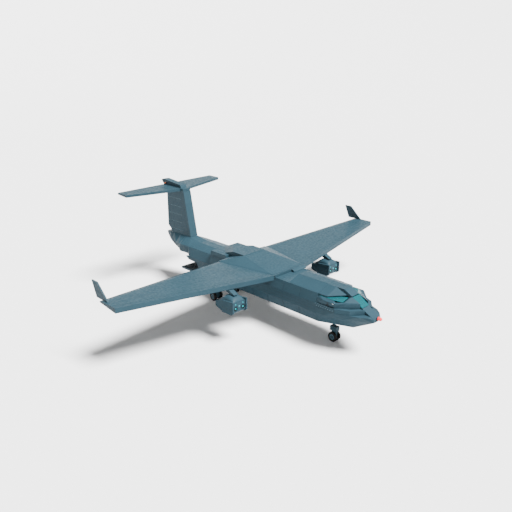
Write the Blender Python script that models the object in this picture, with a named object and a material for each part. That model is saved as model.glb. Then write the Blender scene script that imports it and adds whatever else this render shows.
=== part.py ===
# Toy model of a high-wing, T-tail transport plane, built from stud-and-brick pieces.
# Units are metres. The nose points to -Y, the aircraft's left side is +X, up is +Z.
# The origin is on the floor, below the middle of the model's box.
import math

import bmesh
import bpy
from mathutils import Vector

# Driving sizes of the building system
STUD = 0.008            # pitch from stud to stud
PLATE = 0.0032          # height of a plate
BRICK = 3 * PLATE       # height of a brick
GAP = 0.0003            # clearance between pieces that touch
WALL = STUD             # thickness of the hull's walls

# Stations along Y are measured from the wing's trailing edge at the centre line, aft positive
WING_Y = 0.0820         # that trailing edge, behind the middle of the model
FLOOR = 0.0             # height of the surface that the tyres stand on

# Hull: an octagon of four-sided bands, half widths and heights
ROOF_Z = 0.1636
SHOULDER_Z = ROOF_Z - 3 * BRICK
WAIST_Z = SHOULDER_Z - 3 * BRICK
BELLY_Z = WAIST_Z - 3 * BRICK
ROOF_X = 0.0595
SHOULDER_X = 0.0678
WAIST_X = 0.0678
BELLY_X = 0.0593
HULL_FRONT = -0.388
HULL_REAR = 0.137       # where the lower walls end above the ramp
ROOF_REAR = 0.183       # where the solid tail cone starts
SADDLE_REAR = 0.0765    # where the full-width roof ends and the lower tail roof starts
GABLE_REAR = -0.2770    # rear end of the ridged roof behind the cockpit
GABLE_HALF = 0.0160     # half width of the ridge's flat strip
GABLE_TOP = ROOF_Z + 5 * PLATE
TAIL_SHOULDER_Z = SHOULDER_Z - 0.0072
TAIL_EDGE_X = 0.0540
TAIL_EDGE_Z = 0.1579
TAIL_RIDGE_Z = 0.1669
FLOOR_THICK = BRICK

# Wing
WING_TOP = ROOF_Z + 2.5 * PLATE
WING_THICK = 1.5 * BRICK
WING_ROOT_X = 0.0666
WING_TIP_X = 0.554
ROOT_FRONT = -0.2224
TIP_FRONT = -0.1331
DIHEDRAL = 0.0437       # rise for each unit of span
REAR_SWEEP = -0.105     # forward run of the trailing edge for each unit of span
WINGLET_X = 0.5470
WINGLET_THICK = 0.0040
BULGE_REACH = 0.0120    # reach of the rounded cover before the wing's front face
BULGE_START = 0.0105    # where it starts, left of the centre line

# Engine pods
POD_X = 0.2133
POD_FRONT = -0.2270
POD_REAR = -0.1560
POD_HALF = 3 * STUD
POD_PLATE_TOP = WING_TOP - 0.0380
POD_BOTTOM = WING_TOP - 0.0740
HOOD_CROWN = 0.0185      # rise of the hood over the plates' top
HOOD_FALL = 0.0060       # drop of the hood's foot from front to rear
POD_SKIN = 0.0040
HOOD_SQUARE = 0.75       # exponent that makes the hood's arch fuller
INTAKE_X = 0.0140
INTAKE_Z = WING_TOP - 0.0550
INTAKE_RADIUS = 0.0105
BAR_HALF = 0.0026        # half height of the bar that joins a pod's two intakes

# Tail
FIN_HALF = 0.0156
FIN_TOP = WING_TOP + 0.1623
STAB_TOP = WING_TOP + 0.1713
STAB_THICK = 0.0090
STAB_TIP_X = 0.2056
STAB_REAR = 0.388
BULLET_TOP = WING_TOP + 0.1905
BULLET_REAR = 0.3990
STAB_AXLE_Y = 0.3760
STAB_AXLE_Z = STAB_TOP + 0.0060
STAB_AXLE_HALF = 0.0190
BULLET_HALF = 0.0120

# Wheels
TYRE_RADIUS = 0.0154
TYRE_WIDTH = 0.0080
TYRE_BORE = 0.0086
HUB_HALF = 0.5 * TYRE_WIDTH - 0.0004
WHEEL_Z = FLOOR + TYRE_RADIUS
NOSE_GEAR_Y = -0.406
MAIN_GEAR_Y = 0.0615
MAIN_GEAR_X = 0.0526
NOSE_WHEEL_OFFSET = 0.0085
MAIN_WHEEL_OFFSET = 0.0126
AXLE_RADIUS = 0.0024
NOSE_LEG_HALF = 0.0039
MAIN_LEG_HALF = 0.0078
NOSE_BLOCK_Z = 0.0335
NOSE_BLOCK_TOP = 0.0480

# Ramp
RAMP_HINGE_Y = 0.1425
RAMP_HINGE_Z = BELLY_Z - 0.0032
RAMP_TOP = BELLY_Z - 0.0022
BARREL_RADIUS = 0.0036
PIN_RADIUS = 0.0016
RAMP_REAR = 0.242
RAMP_THICK = 2 * PLATE
RAMP_HALF = 0.0580

LUG_INNER = 0.0410      # the floor's hinge lugs, between these half widths
LUG_OUTER = 0.0490
LUG_ROOT = 0.0060       # half height of a lug where it leaves the floor

# Cockpit, nose and gear bay
BULKHEAD_Y = -0.3870
DOOR_HALF = 0.0160
DOOR_TOP = ROOF_Z - 0.0240
SEAT_FRONT = -0.4400
SEAT_X = 0.0170
SEAT_HALF = 0.0078
SLOPE_HALF = 0.0159
LAMP_TIP = -0.5630
LAMP_Z = WING_TOP - 0.0505
LAMP_RADIUS = 0.0054
RING_RADIUS = 0.0050
BAY_HALF = 0.0200
BAY_Z = BELLY_Z + 0.0100
SWIVEL_RADIUS = 0.0024
SOCKET_TOP = BELLY_Z + 0.0260

MM = 0.001              # the corner tables below are in millimetres

# Colours as linear red, green, blue, then roughness
FINISHES = {
    "sand_blue": (0.105, 0.185, 0.235, 0.35),
    "black": (0.006, 0.005, 0.005, 0.45),
    "rubber": (0.008, 0.006, 0.005, 0.75),
    "teal_glass": (0.030, 0.170, 0.200, 0.08),
    "red_glass": (0.700, 0.060, 0.060, 0.08),
    "orange_brown": (0.240, 0.075, 0.030, 0.40),
    "dark_grey": (0.060, 0.065, 0.070, 0.50),
}


def clear_scene():
    """Remove every object of the open scene."""
    for thing in list(bpy.data.objects):
        bpy.data.objects.remove(thing, do_unlink=True)


def finish(name, colour):
    """Make the node's own Principled material."""
    red, green, blue, rough = FINISHES[colour]
    material = bpy.data.materials.new(name + "_finish")
    material.use_nodes = True
    shader = material.node_tree.nodes["Principled BSDF"]
    shader.inputs["Base Color"].default_value = (red, green, blue, 1.0)
    shader.inputs["Roughness"].default_value = rough
    shader.inputs["Metallic"].default_value = 0.0
    return material


def place(name, shape, colour, pivot=(0.0, 0.0, 0.0), smooth=False):
    """Turn a bmesh in station coordinates into an object with its origin at the pivot."""
    bmesh.ops.recalc_face_normals(shape, faces=shape.faces)
    bmesh.ops.translate(shape, vec=-Vector(pivot), verts=shape.verts)
    mesh = bpy.data.meshes.new(name)
    shape.to_mesh(mesh)
    shape.free()
    if smooth:
        mesh.shade_smooth()
        mesh.set_sharp_from_angle(angle=math.radians(35))
    mesh.materials.append(finish(name, colour))
    thing = bpy.data.objects.new(name, mesh)
    thing.location = Vector(pivot) + Vector((0.0, WING_Y, 0.0))
    bpy.context.scene.collection.objects.link(thing)
    return thing


def hull_of(points):
    """Closed convex shape round a short list of corners."""
    shape = bmesh.new()
    for point in points:
        shape.verts.new(point)
    result = bmesh.ops.convex_hull(shape, input=shape.verts)
    spare = [item for item in result["geom_unused"] if isinstance(item, bmesh.types.BMVert)]
    spare += [item for item in result["geom_interior"] if isinstance(item, bmesh.types.BMVert)]
    bmesh.ops.delete(shape, geom=list(set(spare)), context="VERTS")
    bmesh.ops.dissolve_limit(shape, angle_limit=0.001, verts=shape.verts, edges=shape.edges)
    return shape


def box(low, high):
    """Closed box between two corners."""
    ends = [(x, y, z) for x in (low[0], high[0])
            for y in (low[1], high[1]) for z in (low[2], high[2])]
    return hull_of(ends)


def extruded(outline, axis, start, end):
    """Closed shape of a flat outline run along an axis; the outline gives the other two."""
    def corner(pair, along):
        if axis == "X":
            return (along, pair[0], pair[1])
        if axis == "Y":
            return (pair[0], along, pair[1])
        return (pair[0], pair[1], along)
    shape = bmesh.new()
    near = [shape.verts.new(corner(pair, start)) for pair in outline]
    far = [shape.verts.new(corner(pair, end)) for pair in outline]
    shape.faces.new(near)
    shape.faces.new(list(reversed(far)))
    count = len(outline)
    for index in range(count):
        after = (index + 1) % count
        shape.faces.new((near[index], near[after], far[after], far[index]))
    return shape


def lofted(rings):
    """Closed shape through rings that have the same number of corners."""
    shape = bmesh.new()
    rows = [[shape.verts.new(point) for point in ring] for ring in rings]
    shape.faces.new(rows[0])
    shape.faces.new(list(reversed(rows[-1])))
    count = len(rings[0])
    for row, following in zip(rows, rows[1:]):
        for index in range(count):
            after = (index + 1) % count
            shape.faces.new((row[index], row[after], following[after], following[index]))
    return shape


def turned(profile, centre, axis="X", segments=24):
    """Closed solid of revolution; the profile lists (place along the axis, radius)."""
    shape = bmesh.new()
    rings = []
    for along, radius in profile:
        ring = []
        for step in range(segments):
            turn = 2.0 * math.pi * step / segments
            side, rise = radius * math.cos(turn), radius * math.sin(turn)
            offset = {"X": (along, side, rise), "Y": (side, along, rise), "Z": (side, rise, along)}[axis]
            ring.append(shape.verts.new(Vector(centre) + Vector(offset)))
        rings.append(ring)
    closed = profile[0] == profile[-1]
    if closed:
        for vert in rings[-1]:
            shape.verts.remove(vert)
        rings[-1] = rings[0]
    else:
        shape.faces.new(rings[0])
        shape.faces.new(list(reversed(rings[-1])))
    for ring, following in zip(rings, rings[1:]):
        for index in range(segments):
            after = (index + 1) % segments
            shape.faces.new((ring[index], ring[after], following[after], following[index]))
    return shape


def joined(target, others):
    """Unite overlapping objects into the first one with exact Booleans."""
    for other in others:
        unite = target.modifiers.new("unite", "BOOLEAN")
        unite.operation = "UNION"
        unite.solver = "EXACT"
        unite.object = other
        other.hide_render = True
        other.display_type = "WIRE"
    return target


def cut(target, cutters):
    """Take the cutters away from the target."""
    for cutter in cutters:
        take = target.modifiers.new("cut", "BOOLEAN")
        take.operation = "DIFFERENCE"
        take.solver = "EXACT"
        take.object = cutter
        cutter.hide_render = True
        cutter.display_type = "WIRE"
    return target


def sides():
    """Name and sign of the aircraft's two sides."""
    return (("left", 1.0), ("right", -1.0))


def rear_y(x):
    """Station of the wing's trailing edge at a place along the span."""
    return REAR_SWEEP * abs(x)


def front_y(x):
    """Station of the wing's leading edge at a place along the span."""
    share = (abs(x) - WING_ROOT_X) / (WING_TIP_X - WING_ROOT_X)
    return ROOT_FRONT + max(share, 0.0) * (TIP_FRONT - ROOT_FRONT)


def wing_top(x):
    """Height of the wing's top at a place along the span."""
    return WING_TOP + DIHEDRAL * max(abs(x) - WING_ROOT_X, 0.0)


def hood_foot(y):
    """Height of the hood's foot at a station along the pod."""
    return POD_PLATE_TOP + GAP - HOOD_FALL * max(0.0, (y - POD_FRONT) / (POD_REAR - POD_FRONT))


def corners(rows, sign=1.0):
    """Corners from rows of (half width, station, height above the wing's top), in millimetres."""
    return [(sign * x * MM, y * MM, WING_TOP + z * MM) for x, y, z in rows]


def both(rows):
    """The rows on both sides of the centre line."""
    return corners(rows) + corners(rows, -1.0)


def build_hull():
    """Floor, three bands of wall on each side, and the roof of the load space."""
    joint = 0.5 * GAP
    start = HULL_FRONT + GAP
    half = BELLY_X - WALL
    floor_start = BULKHEAD_Y + WALL + GAP
    shape = box((-half, floor_start, BELLY_Z), (half, HULL_REAR, BELLY_Z + FLOOR_THICK))
    floor = place("hull_floor", shape, "sand_blue")
    hinge = (0.0, RAMP_HINGE_Y, RAMP_HINGE_Z)
    reach = LUG_OUTER + 0.003
    bores = turned([(-reach, PIN_RADIUS + GAP), (reach, PIN_RADIUS + GAP)], hinge, "X", 16)
    for side, sign in sides():
        low, high = sorted((sign * LUG_INNER, sign * LUG_OUTER))
        lug = [(HULL_REAR - 0.001, BELLY_Z + LUG_ROOT), (HULL_REAR - 0.001, BELLY_Z - LUG_ROOT),
               (RAMP_HINGE_Y, RAMP_HINGE_Z - BARREL_RADIUS), (RAMP_HINGE_Y + BARREL_RADIUS, RAMP_HINGE_Z),
               (RAMP_HINGE_Y, RAMP_HINGE_Z + BARREL_RADIUS)]
        joined(floor, [place("ramp_lug_" + side, extruded(lug, "X", low, high), "sand_blue")])
    cut(floor, [place("ramp_pin_bore", bores, "black")])
    for side, sign in sides():
        lower = [(half + GAP, BELLY_Z), (BELLY_X, BELLY_Z), (WAIST_X, WAIST_Z - joint),
                 (WAIST_X - WALL, WAIST_Z - joint), (half + GAP, BELLY_Z + FLOOR_THICK)]
        shape = extruded([(sign * x, z) for x, z in lower], "Y", start, HULL_REAR)
        place("hull_lower_" + side, shape, "sand_blue")
        upper = [(SHOULDER_X - WALL, SHOULDER_Z + joint), (SHOULDER_X, SHOULDER_Z + joint),
                 (ROOF_X, ROOF_Z), (ROOF_X - WALL, ROOF_Z)]
        shape = extruded([(sign * x, z) for x, z in upper], "Y", start, SADDLE_REAR)
        wall = place("hull_upper_" + side, shape, "sand_blue")
        # The walls behind the wing lean further in, up to the lower tail roof.
        leaning = [(SHOULDER_X - WALL, TAIL_SHOULDER_Z + joint), (SHOULDER_X, TAIL_SHOULDER_Z + joint),
                   (TAIL_EDGE_X, TAIL_EDGE_Z - GAP), (TAIL_EDGE_X - WALL, TAIL_EDGE_Z - GAP)]
        rear = extruded([(sign * x, z) for x, z in leaning], "Y", SADDLE_REAR - 0.001, ROOF_REAR)
        joined(wall, [place("hull_upper_rear_" + side, rear, "sand_blue")])
        # The side wall runs on above the ramp, stepping up to the tail cone.
        band = [(start, WAIST_Z + joint), (HULL_REAR + 0.001, WAIST_Z + joint),
                (HULL_REAR + 0.006, WAIST_Z + BRICK), (ROOF_REAR + 0.003, WAIST_Z + BRICK + 0.002),
                (ROOF_REAR + 0.018, TAIL_SHOULDER_Z - joint),
                (SADDLE_REAR - 0.0015, TAIL_SHOULDER_Z - joint), (SADDLE_REAR - 0.0015, SHOULDER_Z - joint),
                (start, SHOULDER_Z - joint)]
        low, high = sorted((sign * (SHOULDER_X - WALL), sign * SHOULDER_X))
        place("hull_side_" + side, extruded(band, "X", low, high), "sand_blue")
    inner = ROOF_X - WALL - GAP
    shape = box((-inner, start, ROOF_Z - WALL), (inner, SADDLE_REAR - 0.001 - GAP, ROOF_Z))
    roof = place("hull_roof", shape, "sand_blue")
    tongue = box((-0.040, SADDLE_REAR - 0.003, ROOF_Z - 0.0078), (0.040, SADDLE_REAR + 0.003, ROOF_Z - 0.0047))
    joined(roof, [place("roof_tongue", tongue, "sand_blue")])
    seat = ROOF_Z + GAP
    gable = [(GABLE_HALF, GABLE_TOP), (ROOF_X - 0.0010, seat), (inner, seat),
             (inner - 0.0005, ROOF_Z - 0.001)]
    outline = gable + [(-x, z) for x, z in reversed(gable)]
    joined(roof, [place("roof_ridge", extruded(outline, "Y", start, GABLE_REAR), "sand_blue")])
    under = TAIL_EDGE_X - WALL - GAP
    lean = [(GABLE_HALF, TAIL_RIDGE_Z), (TAIL_EDGE_X, TAIL_EDGE_Z), (under, TAIL_EDGE_Z),
            (under, ROOF_Z - 0.0090)]
    outline = lean + [(-x, z) for x, z in reversed(lean)]
    shape = extruded(outline, "Y", SADDLE_REAR + GAP, ROOF_REAR)
    joined(roof, [place("tail_roof", shape, "sand_blue")])


def build_tail_cone():
    """Solid rear body that carries the fin and sweeps up behind the ramp."""
    # Each row: station, then half width and height of the ridge, edge, side's foot and keel
    table = (
        (1000.0 * (ROOF_REAR + GAP), (16.0, -5.0), (54.0, -14.0), (67.0, -43.6), (59.0, -43.8)),
        (203.0, (16.0, -2.5), (54.0, -14.5), (58.0, -38.0), (50.0, -43.8)),
        (235.0, (16.0, 2.5), (54.0, -15.0), (55.0, -40.0), (47.0, -45.0)),
        (252.0, (16.0, 2.5), (53.5, -17.0), (54.0, -42.0), (46.0, -46.0)),
        (264.0, (16.0, 2.5), (50.0, -19.0), (50.0, -35.5), (42.0, -43.0)),
        (295.0, (16.0, 2.5), (40.0, -23.5), (40.0, -34.0), (30.0, -41.0)),
        (332.0, (16.0, 2.0), (30.0, -24.0), (29.0, -28.5), (20.0, -36.0)),
        (357.0, (15.0, 0.0), (20.0, -20.0), (18.0, -26.0), (12.0, -33.0)),
        (383.0, (8.0, -4.0), (9.0, -9.0), (8.0, -14.0), (6.0, -15.0)),
    )
    rings = []
    for station, *places in table:
        half = [(x, station, z) for x, z in places]
        rings.append(corners(half) + list(reversed(corners(half, -1.0))))
    place("tail_cone", lofted(rings), "sand_blue")


def build_nose():
    """Faceted nose in three tiers, its slope, lamp and the gear bay below."""
    top_z, knee_z, low_z = -46.0, -63.5, -94.4
    rows = [(68.4, -388.3, top_z), (68.4, -452.0, top_z), (51.0, -493.0, top_z), (40.0, -520.0, top_z),
            (27.0, -536.5, top_z), (68.4, -388.3, knee_z), (68.4, -415.0, knee_z), (62.0, -450.0, knee_z),
            (54.0, -478.0, -60.0), (59.3, -388.3, low_z), (38.0, -430.0, low_z), (34.0, -443.0, low_z),
            (20.0, -485.0, low_z), (14.0, -538.0, -66.0), (14.0, -548.0, -61.0), (15.0, -548.0, -51.8)]
    hull_thing = place("nose_hull", hull_of(both(rows)), "sand_blue")
    bay = place("gear_bay_cutter", box((-BAY_HALF, NOSE_GEAR_Y - 0.034, BELLY_Z - 0.02),
                                       (BAY_HALF, NOSE_GEAR_Y + 0.016, BAY_Z)), "black")
    socket = place("gear_socket_cutter",
                   turned([(BAY_Z - 0.001, SWIVEL_RADIUS + GAP), (SOCKET_TOP, SWIVEL_RADIUS + GAP)],
                          (0.0, NOSE_GEAR_Y, 0.0), "Z", 16), "black")
    cut(hull_thing, [bay, socket])
    sill_z, step_z, deck_z = -18.0, -32.4, -45.7
    # Columns: station, outer half width below, outer half width above, inner half width
    tiers = {"nose_tier_": (deck_z, step_z, ((-388.3, 68.4, 68.4, 60.4), (-452.0, 68.4, 68.4, 60.4),
                                             (-492.0, 50.0, 50.0, 41.5), (-518.5, 17.5, 17.5, 17.5))),
             "cockpit_wall_": (step_z, sill_z, ((-388.3, 67.0, 62.2, 54.5), (-413.0, 66.4, 69.0, 58.0),
                                                (-452.0, 64.6, 69.0, 57.0), (-475.5, 45.0, 45.0, 36.8),
                                                (-502.5, 17.5, 17.5, 17.5)))}
    inner_y = {-388.3: -388.3, -413.0: -413.0, -452.0: -448.5, -475.5: -469.5, -492.0: -482.5,
               -502.5: -491.0, -518.5: -503.5}
    for side, sign in sides():
        for name, (low, top, plan) in tiers.items():
            rings = []
            for height, column in ((low + 0.15, 1), (top - 0.15, 2)):
                ring = [(sign * row[column] * MM, row[0] * MM, WING_TOP + height * MM) for row in plan]
                ring += [(sign * row[3] * MM, inner_y[row[0]] * MM, WING_TOP + height * MM)
                         for row in reversed(plan)]
                rings.append(ring)
            place(name + side, lofted(rings), "sand_blue")
        sill = [(57.5, -389.0, -12.8), (60.0, -440.0, -13.4), (61.6, -388.6, -17.7), (69.0, -413.0, -17.7),
                (69.0, -452.0, -17.7), (51.0, -389.0, -14.4), (52.0, -438.0, -15.8), (55.0, -389.0, -17.7),
                (60.0, -450.0, -17.7)]
        place("cockpit_sill_" + side, hull_of(corners(sill, sign)), "sand_blue")
        pillar = [(16.5, -473.0, -6.6), (20.0, -468.0, -8.4), (16.5, -500.5, -17.7),
                  (40.0, -474.0, -17.7), (46.0, -465.6, -17.7), (18.0, -470.0, -12.0),
                  (20.0, -491.0, -17.7), (36.0, -468.0, -17.7)]
        place("cockpit_pillar_" + side, hull_of(corners(pillar, sign)), "sand_blue")
        window = [(57.2, -389.5, -12.2), (56.6, -418.6, -12.2), (20.5, -463.4, -10.4),
                  (44.6, -463.2, -17.0), (59.6, -440.0, -12.9), (54.2, -390.0, -12.2), (53.6, -417.0, -12.2),
                  (18.5, -460.6, -10.4), (41.6, -460.6, -17.0), (56.6, -438.6, -12.9)]
        place("side_window_" + side, hull_of(corners(window, sign)), "teal_glass")
    spine = both([(16.0, -388.3, 8.0), (16.0, -446.0, 8.0), (16.0, -472.0, -5.6), (16.0, -388.3, -12.0),
                  (16.0, -470.0, -9.0)])
    roof = place("cockpit_roof", hull_of(spine), "sand_blue")
    for side, sign in sides():
        flank = [(10.0, -388.3, 7.9), (10.0, -418.0, 7.9), (10.0, -456.0, -5.6), (16.0, -388.3, 8.0),
                 (16.0, -418.0, 8.0), (16.0, -457.0, -6.0), (58.0, -388.3, -8.0), (58.0, -418.0, -8.0),
                 (10.0, -388.3, -11.6), (10.0, -454.0, -9.6), (16.0, -455.0, -9.4), (57.6, -417.0, -11.6),
                 (57.6, -388.3, -11.6)]
        joined(roof, [place("roof_flank_" + side, hull_of(corners(flank, sign)), "sand_blue")])
    screen = both([(16.0, -474.0, -6.6), (16.0, -507.6, -29.2), (13.0, -471.4, -10.4),
                   (13.0, -500.0, -30.2), (13.0, -506.6, -30.2)])
    place("windscreen", hull_of(screen), "teal_glass")
    slope = [(-508.4, -30.6), (-546.5, -50.2), (-536.0, -45.4), (-500.0, -45.4), (-500.0, -31.0)]
    outline = [(y * MM, WING_TOP + z * MM) for y, z in slope]
    place("nose_slope", extruded(outline, "X", -SLOPE_HALF, SLOPE_HALF), "sand_blue")
    ring = [(-0.5510, RING_RADIUS), (-0.5483, RING_RADIUS)]
    place("nose_ring", turned(ring, (0.0, 0.0, LAMP_Z - 0.0025), "Y", 20), "black", smooth=True)
    lamp = [(LAMP_TIP, 0.0020), (LAMP_TIP + 0.0016, 0.0038), (LAMP_TIP + 0.0046, LAMP_RADIUS),
            (-0.5513, LAMP_RADIUS)]
    place("nose_lamp", turned(lamp, (0.0, 0.0, LAMP_Z), "Y", 20), "red_glass", smooth=True)


def build_cockpit():
    """Deck with the control desk, bulkhead with a doorway, and the two seats."""
    deck_z = WING_TOP - 0.0457
    plan = [(59.5, -389.0), (59.5, -432.0), (35.0, -468.0), (15.5, -488.5)]
    outline = [(x * MM, y * MM) for x, y in plan] + [(-x * MM, y * MM) for x, y in reversed(plan)]
    deck = place("cockpit_floor", extruded(outline, "Z", deck_z + GAP, deck_z + PLATE), "dark_grey")
    desk = extruded([(-0.4860, deck_z + 0.0010), (-0.4860, deck_z + 0.0150), (-0.4760, deck_z + 0.0180),
                     (-0.4680, deck_z + 0.0120), (-0.4680, deck_z + 0.0010)], "X", -0.0195, 0.0195)
    joined(deck, [place("control_desk", desk, "dark_grey")])
    seat_z = deck_z + PLATE + GAP
    base = box((-0.0258, SEAT_FRONT, seat_z - 0.001), (0.0258, SEAT_FRONT + 3 * STUD, seat_z + PLATE))
    joined(deck, [place("seat_base", base, "dark_grey")])
    # Columns: station behind the seats' front, height above the deck
    seat = [(0.001, 0.001), (0.001, 0.012), (0.012, 0.011), (0.017, 0.024), (0.023, 0.024), (0.023, 0.001)]
    outline = [(SEAT_FRONT + y, seat_z + z) for y, z in seat]
    for side, sign in sides():
        middle = sign * SEAT_X
        shape = extruded(outline, "X", middle - SEAT_HALF, middle + SEAT_HALF)
        joined(deck, [place("seat_" + side, shape, "dark_grey")])
    top = ROOF_Z - WALL - GAP
    door_low = BELLY_Z + FLOOR_THICK + GAP
    half_wall = [(0.0505, top), (0.0590, SHOULDER_Z), (0.0590, WAIST_Z + 0.0010),
                 (0.0505, BELLY_Z + FLOOR_THICK), (0.0505, BELLY_Z)]
    outline = half_wall + [(-x, z) for x, z in reversed(half_wall)]
    back = BULKHEAD_Y + WALL
    bulkhead = place("cockpit_bulkhead", extruded(outline, "Y", BULKHEAD_Y, back), "sand_blue")
    doorway = box((-DOOR_HALF, BULKHEAD_Y - 0.002, door_low), (DOOR_HALF, back + 0.002, DOOR_TOP))
    cut(bulkhead, [place("doorway_cutter", doorway, "black")])


def build_wing():
    """Centre panel, outer panels, winglets, the rounded front bulge and the rear fairing."""
    edge = WING_ROOT_X - GAP
    under = ROOF_Z + GAP
    centre = [(-edge, ROOT_FRONT), (edge, ROOT_FRONT), (edge, rear_y(edge)), (-edge, rear_y(edge))]
    panel = place("wing_centre", extruded(centre, "Z", under, WING_TOP), "sand_blue")
    for side, sign in sides():
        rings = []
        for x in (WING_ROOT_X, WING_TIP_X):
            top = wing_top(x)
            low = top - WING_THICK
            rings.append([(sign * x, front_y(x), top), (sign * x, front_y(x), low),
                          (sign * x, rear_y(x), top - 0.0064), (sign * x, rear_y(x), top - 0.0032),
                          (sign * x, rear_y(x) - 0.0160, top)])
        place("wing_" + side, lofted(rings), "sand_blue")
        winglet = [(-0.0910, 0.0), (-0.0355, 0.0), (-0.0163, 0.0440), (-0.0428, 0.0440)]
        base = wing_top(WINGLET_X) + GAP
        outline = [(y, base + z) for y, z in winglet]
        half = 0.5 * WINGLET_THICK
        low, high = sorted((sign * (WINGLET_X - half), sign * (WINGLET_X + half)))
        place("winglet_" + side, extruded(outline, "X", low, high), "sand_blue")
    # The rounded fairing covers the front face from near the middle to the port panel only.
    arc = [(ROOT_FRONT + 0.002, under)]
    for step in range(7):
        turn = 0.5 * math.pi * step / 6
        arc.append((ROOT_FRONT - BULGE_REACH * math.cos(turn), under + 0.0076 * math.sin(turn)))
    arc.append((ROOT_FRONT + 0.002, under + 0.0076))
    joined(panel, [place("wing_bulge", extruded(arc, "X", BULGE_START, edge), "sand_blue")])
    saddle = both([(62.0, 0.3, -7.7), (60.0, 0.3, 4.7), (62.0, 76.5, -7.7), (60.0, 73.0, 4.7)])
    fairing = place("wing_fairing", hull_of(saddle), "sand_blue")
    hump = both([(45.0, -80.0, 0.3), (45.0, -18.0, 19.5), (43.0, 26.0, 4.0), (45.0, -14.0, 0.3),
                 (30.0, 2.0, 0.3)])
    hump += corners([(0.0, 31.0, 18.6), (0.0, 75.0, 4.0)])
    joined(fairing, [place("dorsal_hump", hull_of(hump), "sand_blue")])


def build_pods():
    """Pylon, body, hood and twin intakes of each engine pod."""
    for side, sign in sides():
        middle = sign * POD_X
        outline = [(POD_FRONT, POD_BOTTOM + 0.0080), (POD_FRONT, POD_PLATE_TOP),
                   (POD_REAR, POD_PLATE_TOP - 0.0060), (POD_REAR, POD_BOTTOM + 0.0080),
                   (POD_REAR - 0.0260, POD_BOTTOM), (POD_FRONT + 0.0100, POD_BOTTOM)]
        shape = extruded(outline, "X", middle - POD_HALF, middle + POD_HALF)
        body = place("pod_body_" + side, shape, "sand_blue")
        cheek = [(POD_FRONT + 0.005, POD_BOTTOM + 0.001), (POD_FRONT - 0.004, POD_BOTTOM + 0.0065),
                 (POD_FRONT - 0.004, POD_PLATE_TOP + 0.006), (POD_REAR - 0.028, POD_PLATE_TOP + 0.002),
                 (POD_REAR, POD_PLATE_TOP - 0.0080), (POD_REAR, POD_BOTTOM + 0.0120),
                 (POD_REAR - 0.028, POD_BOTTOM + 0.0100), (POD_REAR - 0.028, POD_BOTTOM + 0.001)]
        for name, spot in (("inner", -1.0), ("outer", 1.0)):
            low, high = sorted((spot * (POD_HALF - 0.001), spot * (POD_HALF + POD_SKIN)))
            shape = extruded(cheek, "X", middle + low, middle + high)
            joined(body, [place(f"pod_plate_{side}_{name}", shape, "sand_blue")])
        bores = []
        for name, spot in (("a", -1.0), ("b", 1.0)):
            centre = (middle + spot * INTAKE_X, 0.0, INTAKE_Z)
            profile = [(POD_FRONT - 0.0100, INTAKE_RADIUS), (POD_FRONT + 0.0140, INTAKE_RADIUS)]
            bores.append(place(f"intake_bore_{side}_{name}", turned(profile, centre, "Y", 24), "black"))
        slot = box((middle - INTAKE_X, POD_FRONT + 0.0060, INTAKE_Z - BAR_HALF - 0.0004),
                   (middle + INTAKE_X, POD_FRONT + 0.0138, INTAKE_Z + BAR_HALF + 0.0004))
        bores.append(place(f"intake_slot_{side}", slot, "black"))
        cut(body, bores)
        shape = box((middle - INTAKE_X, POD_FRONT + 0.0065, INTAKE_Z - BAR_HALF),
                    (middle + INTAKE_X, POD_FRONT + 0.0130, INTAKE_Z + BAR_HALF))
        bar = place("pod_intakes_" + side, shape, "black")
        for name, spot in (("a", -1.0), ("b", 1.0)):
            centre = (middle + spot * INTAKE_X, 0.0, INTAKE_Z)
            radius = INTAKE_RADIUS - GAP
            drum = turned([(POD_FRONT + 0.0020, radius), (POD_FRONT + 0.0135, radius)], centre, "Y", 24)
            joined(bar, [place(f"intake_drum_{side}_{name}", drum, "black")])
        # Columns: station, height of the hood's crown above the plates' top
        stations = ((POD_FRONT + 0.001, 0.0120), (POD_FRONT + 0.008, HOOD_CROWN),
                    (POD_FRONT + 0.036, HOOD_CROWN), (POD_REAR - 0.014, 0.0080),
                    (POD_REAR - 0.004, 0.0010))
        rings = []
        for station, crown in stations:
            base = hood_foot(station)
            ring = []
            for step in range(9):
                turn = math.pi * step / 8
                across = math.copysign(abs(math.cos(turn)) ** HOOD_SQUARE, math.cos(turn))
                rise = abs(math.sin(turn)) ** HOOD_SQUARE
                ring.append((middle + (POD_HALF - 0.002) * across, station, base + crown * rise))
            rings.append(ring)
        place("pod_hood_" + side, lofted(rings), "sand_blue")
        pylon = []
        for spot in (-0.0080, 0.0080):
            x = middle + spot
            ceiling = wing_top(x) - WING_THICK - GAP
            pylon += [(x, -0.1900, ceiling), (x, -0.1640, ceiling)]
            pylon += [(x, y, hood_foot(y) + HOOD_CROWN + GAP) for y in (-0.2150, -0.1930)]
        place("pylon_" + side, hull_of(pylon), "sand_blue")


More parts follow.
